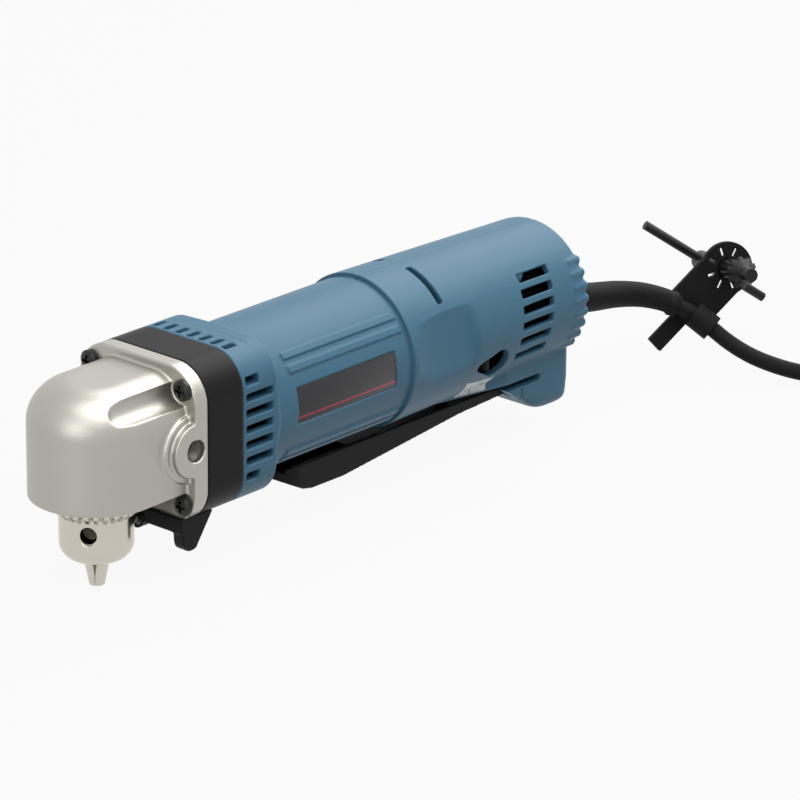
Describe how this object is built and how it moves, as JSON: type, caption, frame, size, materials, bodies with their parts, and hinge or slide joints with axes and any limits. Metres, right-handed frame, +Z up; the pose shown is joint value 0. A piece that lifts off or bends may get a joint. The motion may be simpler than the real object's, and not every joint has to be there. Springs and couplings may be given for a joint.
{
  "type": "right angle drill",
  "caption": "Corded right-angle drill with a cast gear head, keyed chuck, vented motor barrel, paddle switch under the handle, and a chuck key held on the cord.",
  "frame": {"origin": "on the spindle axis, at the tips of the closed chuck jaws", "axes": "+X back along the motor, +Z up along the spindle away from the work, -Y on the side with the plate and reversing lever"},
  "size_m": [0.5306, 0.1469, 0.0838],
  "materials": {
    "cast_alloy": "satin cast",
    "black_screw": "black",
    "black_plastic": "satin",
    "lens": "clear",
    "blue_plastic": "satin moulded",
    "plate": "gloss",
    "iron": "ground",
    "copper": "bright",
    "steel": "ground",
    "brass": "bright",
    "carbon": "matt",
    "ivory_plastic": "satin",
    "nickel": "nickel plated",
    "rubber": "soft satin",
    "black_steel": "black oxide"
  },
  "bodies": {
    "housing": {"gear_housing": "cast_alloy", "housing_screws": "black_screw", "bearing_box": "black_plastic", "lamp_bracket": "black_plastic", "lamp_lens": "lens", "motor_housing": "blue_plastic", "name_plate": "plate", "baffle": "black_plastic", "stator_core": "iron", "field_coils": "copper", "handle_left": "blue_plastic", "handle_right": "blue_plastic", "handle_screws": "steel", "brush_holders": "brass", "carbon_brushes": "carbon", "switch_body": "black_plastic", "lever_pin": "steel", "spindle_lower_bearing": "steel", "spindle_upper_bearing": "steel", "counter_bearing": "steel", "counter_bush": "brass", "front_bearing": "steel", "rear_bearing": "steel", "cord_clamp": "black_plastic", "clamp_screws": "steel", "cord_guard": "rubber", "cord": "rubber", "cord_coil": "rubber", "cord_tie": "black_plastic", "plug": "rubber", "plug_pins": "brass", "key_holder": "rubber"},
    "spindle": {"spindle": "steel", "bevel_gear": "iron", "chuck_body": "nickel"},
    "sleeve": {"chuck_sleeve": "nickel", "chuck_nut": "iron"},
    "jaw_a": {"jaw_1": "nickel"},
    "jaw_b": {"jaw_2": "nickel"},
    "jaw_c": {"jaw_3": "nickel"},
    "counter": {"countershaft": "steel", "bevel_pinion": "iron", "counter_gear": "iron"},
    "armature": {"armature_shaft": "steel", "armature_core": "iron", "armature_winding": "copper", "commutator": "copper", "fan": "black_plastic"},
    "lever": {"paddle_lever": "black_plastic"},
    "lock": {"lock_button": "black_plastic"},
    "plunger": {"switch_plunger": "ivory_plastic"},
    "reverse": {"reversing_lever": "black_plastic"},
    "key": {"chuck_key": "black_steel", "key_bar": "black_steel"}
  },
  "joints": [
    {"name": "armature_spin", "type": "hinge", "parent": "housing", "child": "armature", "pos_m": [0.1, 0, 0.053], "axis": [1, 0, 0], "continuous": true},
    {"name": "counter_spin", "type": "hinge", "parent": "housing", "child": "counter", "pos_m": [0.03, 0, 0.06599], "axis": [1, 0, 0], "continuous": true},
    {"name": "spindle_spin", "type": "hinge", "parent": "housing", "child": "spindle", "pos_m": [0, 0, 0.05], "axis": [0, 0, 1], "continuous": true},
    {"name": "sleeve_turn", "type": "hinge", "parent": "spindle", "child": "sleeve", "pos_m": [0, 0, 0.04], "axis": [0, 0, 1], "range_deg": [0, 2880]},
    {"name": "jaw_a_slide", "type": "slide", "parent": "spindle", "child": "jaw_a", "axis": [-0.2136, 0.1136, 0.9703], "range_m": [0, 0.02], "stiffness_N_per_m": 0.0474, "springref_m": 1},
    {"name": "jaw_b_slide", "type": "slide", "parent": "spindle", "child": "jaw_b", "axis": [0.0084, -0.2418, 0.9703], "range_m": [0, 0.02], "stiffness_N_per_m": 0.0474, "springref_m": 1},
    {"name": "jaw_c_slide", "type": "slide", "parent": "spindle", "child": "jaw_c", "axis": [0.2052, 0.1282, 0.9703], "range_m": [0, 0.02], "stiffness_N_per_m": 0.0474, "springref_m": 1},
    {"name": "lever_press", "type": "hinge", "parent": "housing", "child": "lever", "pos_m": [0.23, 0, 0.0202], "axis": [0, 1, 0], "range_deg": [0, 1.6], "stiffness_Nm_per_rad": 6, "springref_deg": -3.44},
    {"name": "plunger_press", "type": "slide", "parent": "housing", "child": "plunger", "axis": [0, 0, 1], "range_m": [0, 0.0012]},
    {"name": "lock_slide", "type": "slide", "parent": "lever", "child": "lock", "axis": [1, 0, 0], "range_m": [0, 0.003], "stiffness_N_per_m": 150},
    {"name": "reverse_swing", "type": "hinge", "parent": "housing", "child": "reverse", "pos_m": [0.19104, -0.009, 0.0405], "axis": [0, 0, 1], "range_deg": [-7, 12]},
    {"name": "key_turn", "type": "hinge", "parent": "housing", "child": "key", "pos_m": [0.349, -0.0166, 0.0372], "axis": [-0.475, -0.857, 0.2], "continuous": true}
  ],
  "couplings": [
    {"joint": "counter_spin", "follows": "armature_spin", "ratio": -0.24138},
    {"joint": "spindle_spin", "follows": "armature_spin", "ratio": -0.083554},
    {"joint": "plunger_press", "follows": "lever_press", "m_per_rad": 0.04},
    {"joint": "jaw_b_slide", "follows": "jaw_a_slide", "ratio": 1},
    {"joint": "jaw_c_slide", "follows": "jaw_a_slide", "ratio": 1},
    {"joint": "sleeve_turn", "follows": "jaw_a_slide", "rad_per_m": 2513.3}
  ]
}
